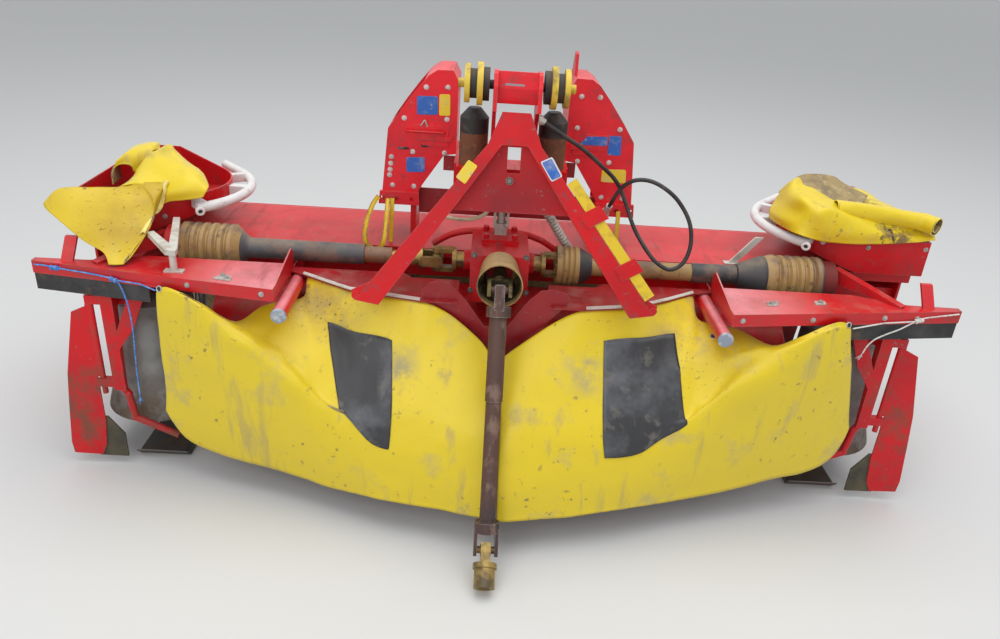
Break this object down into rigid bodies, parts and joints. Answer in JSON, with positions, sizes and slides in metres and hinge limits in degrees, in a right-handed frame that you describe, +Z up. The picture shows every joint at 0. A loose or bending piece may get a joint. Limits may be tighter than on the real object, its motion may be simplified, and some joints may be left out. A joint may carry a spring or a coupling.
{
  "type": "front disc mower conditioner",
  "caption": "Front-mounted disc mower conditioner with coupling triangle, tined rotor, folding side guards, swath cones and cloth curtains",
  "frame": {"origin": "centre of the footprint of the parked machine, on the ground under the skids", "axes": "+X across the machine to the right as seen from the tractor, +Y the driving direction away from the tractor, +Z up"},
  "size_m": [3, 1.5874, 1.456],
  "materials": {
    "red_paint": "glossy implement red, scratched and dusty",
    "dark_steel": "bare worn steel with oil and earth",
    "blade_steel": "bare steel, ground bright at the edges",
    "rust": "brown surface rust",
    "yellow_paint": "yellow paint",
    "yellow_roller": "yellow plastic rims with black rubber",
    "tan_plastic": "faded tan shaft guard plastic",
    "black_plastic": "black shaft guard plastic",
    "black_rubber": "black rubber strip",
    "grey_cone": "grey sheet, worn to bare metal",
    "white_paint": "white powder coat",
    "yellow_cloth": "coated yellow cloth with dirt and creases",
    "yoke_gold": "yellow passivated forging with grease",
    "zinc": "dull galvanised steel",
    "hose_rubber": "black rubber hose",
    "blue_twine": "blue plastic baler twine",
    "white_twine": "white plastic baler twine"
  },
  "bodies": {
    "frame": {"a_frame": "red_paint", "top_bracket": "red_paint", "headstock_beam": "red_paint", "tower_left": "red_paint", "tower_right": "red_paint", "spring_cans": "rust", "center_gearbox": "red_paint", "input_cone": "tan_plastic", "center_link": "dark_steel", "mower_frame": "red_paint", "hood": "red_paint", "deck_left": "red_paint", "deck_right": "red_paint", "rail_strips": "black_rubber", "center_sheet": "red_paint", "shaft_guard_left": "tan_plastic", "shaft_guard_right": "tan_plastic", "end_gearbox_left": "red_paint", "end_gearbox_right": "red_paint", "side_plate_left": "red_paint", "side_plate_right": "red_paint", "cutter_bar": "dark_steel", "conditioner_hood": "red_paint", "end_frame_left": "red_paint", "end_frame_right": "red_paint", "curtain_left": "yellow_cloth", "curtain_right": "yellow_cloth", "yellow_bar": "yellow_paint", "zinc_fittings": "zinc", "hydraulic_hose": "hose_rubber", "twine_left": "blue_twine", "twine_right": "white_twine"},
    "roller_pair": {"rollers": "yellow_roller"},
    "disc_1_body": {"disc_1": "blade_steel"},
    "disc_2_body": {"disc_2": "blade_steel"},
    "disc_3_body": {"disc_3": "blade_steel"},
    "disc_4_body": {"disc_4": "blade_steel"},
    "disc_5_body": {"disc_5": "blade_steel"},
    "disc_6_body": {"disc_6": "blade_steel"},
    "disc_7_body": {"disc_7": "blade_steel"},
    "rotor_body": {"conditioner_rotor": "dark_steel"},
    "drive_left": {"cross_shaft_left": "yoke_gold"},
    "drive_right": {"cross_shaft_right": "yoke_gold"},
    "cone_left": {"swath_cone_left": "grey_cone"},
    "cone_right": {"swath_cone_right": "grey_cone"},
    "board_left": {"swath_board_left": "red_paint", "board_flap_left": "black_rubber"},
    "board_right": {"swath_board_right": "red_paint", "board_flap_right": "black_rubber"},
    "side_guard_left": {"guard_tray_left": "red_paint", "guard_hoop_left": "white_paint", "guard_cloth_left": "yellow_cloth"},
    "side_guard_right": {"guard_tray_right": "red_paint", "guard_hoop_right": "white_paint", "guard_cloth_right": "yellow_cloth"},
    "front_guard_body": {"front_guard": "red_paint", "front_cloth": "yellow_cloth"},
    "shaft_upper": {"front_shaft_upper": "dark_steel"},
    "shaft_lower": {"front_shaft_lower": "rust"},
    "yoke_body": {"free_yoke": "yoke_gold"}
  },
  "joints": [
    {"name": "roller_turn", "type": "hinge", "parent": "frame", "child": "roller_pair", "pos_m": [0, -0.062, 1.382], "axis": [1, 0, 0], "continuous": true},
    {"name": "rotor_turn", "type": "hinge", "parent": "frame", "child": "rotor_body", "pos_m": [0, 0.03, 0.42], "axis": [1, 0, 0], "continuous": true},
    {"name": "disc_1_turn", "type": "hinge", "parent": "frame", "child": "disc_1_body", "pos_m": [-1.2, 0.37, 0.122], "axis": [0, 0, 1], "continuous": true},
    {"name": "disc_2_turn", "type": "hinge", "parent": "frame", "child": "disc_2_body", "pos_m": [-0.8, 0.37, 0.122], "axis": [0, 0, 1], "continuous": true},
    {"name": "disc_3_turn", "type": "hinge", "parent": "frame", "child": "disc_3_body", "pos_m": [-0.4, 0.37, 0.122], "axis": [0, 0, 1], "continuous": true},
    {"name": "disc_4_turn", "type": "hinge", "parent": "frame", "child": "disc_4_body", "pos_m": [0, 0.37, 0.122], "axis": [0, 0, 1], "continuous": true},
    {"name": "disc_5_turn", "type": "hinge", "parent": "frame", "child": "disc_5_body", "pos_m": [0.4, 0.37, 0.122], "axis": [0, 0, 1], "continuous": true},
    {"name": "disc_6_turn", "type": "hinge", "parent": "frame", "child": "disc_6_body", "pos_m": [0.8, 0.37, 0.122], "axis": [0, 0, 1], "continuous": true},
    {"name": "disc_7_turn", "type": "hinge", "parent": "frame", "child": "disc_7_body", "pos_m": [1.2, 0.37, 0.122], "axis": [0, 0, 1], "continuous": true},
    {"name": "drive_left_turn", "type": "hinge", "parent": "frame", "child": "drive_left", "pos_m": [-0.6, -0.015, 0.782], "axis": [1, 0, 0], "continuous": true},
    {"name": "drive_right_turn", "type": "hinge", "parent": "frame", "child": "drive_right", "pos_m": [0.5, -0.015, 0.782], "axis": [1, 0, 0], "continuous": true},
    {"name": "cone_left_turn", "type": "hinge", "parent": "frame", "child": "cone_left", "pos_m": [-1.235, -0.005, 0.4], "axis": [0, 0, 1], "continuous": true},
    {"name": "board_left_swing", "type": "hinge", "parent": "frame", "child": "board_left", "pos_m": [-1.34, -0.215, 0.35], "axis": [0, 0, 1], "range_deg": [0, 75]},
    {"name": "side_guard_left_fold", "type": "hinge", "parent": "frame", "child": "side_guard_left", "pos_m": [-1.478, 0.345, 0.794], "axis": [0, -1, 0], "range_deg": [0, 180]},
    {"name": "cone_right_turn", "type": "hinge", "parent": "frame", "child": "cone_right", "pos_m": [1.235, -0.005, 0.4], "axis": [0, 0, 1], "continuous": true},
    {"name": "board_right_swing", "type": "hinge", "parent": "frame", "child": "board_right", "pos_m": [1.34, -0.215, 0.35], "axis": [0, 0, -1], "range_deg": [0, 75]},
    {"name": "side_guard_right_fold", "type": "hinge", "parent": "frame", "child": "side_guard_right", "pos_m": [1.478, 0.345, 0.794], "axis": [0, 1, 0], "range_deg": [0, 180]},
    {"name": "front_guard_lift", "type": "hinge", "parent": "frame", "child": "front_guard_body", "pos_m": [0, 0.704, 0.69], "axis": [1, 0, 0], "range_deg": [0, 110]},
    {"name": "front_shaft_swing", "type": "hinge", "parent": "frame", "child": "shaft_upper", "pos_m": [-0.02, -0.352, 0.825], "axis": [-1, 0, 0], "range_deg": [0, 66]},
    {"name": "front_shaft_slide", "type": "slide", "parent": "shaft_upper", "child": "shaft_lower", "axis": [0, -0.4037, -0.9149], "range_m": [0, 0.15]},
    {"name": "free_yoke_swing", "type": "hinge", "parent": "shaft_lower", "child": "yoke_body", "pos_m": [-0.02, -0.675, 0.09305], "axis": [-1, 0, 0], "range_deg": [-20, 40]}
  ],
  "couplings": [
    {"joint": "disc_1_turn", "follows": "rotor_turn", "ratio": 3},
    {"joint": "disc_2_turn", "follows": "rotor_turn", "ratio": -3},
    {"joint": "disc_3_turn", "follows": "rotor_turn", "ratio": 3},
    {"joint": "disc_4_turn", "follows": "rotor_turn", "ratio": -3},
    {"joint": "disc_5_turn", "follows": "rotor_turn", "ratio": 3},
    {"joint": "disc_6_turn", "follows": "rotor_turn", "ratio": -3},
    {"joint": "disc_7_turn", "follows": "rotor_turn", "ratio": 3},
    {"joint": "drive_left_turn", "follows": "rotor_turn", "ratio": 1},
    {"joint": "drive_right_turn", "follows": "rotor_turn", "ratio": 1}
  ]
}
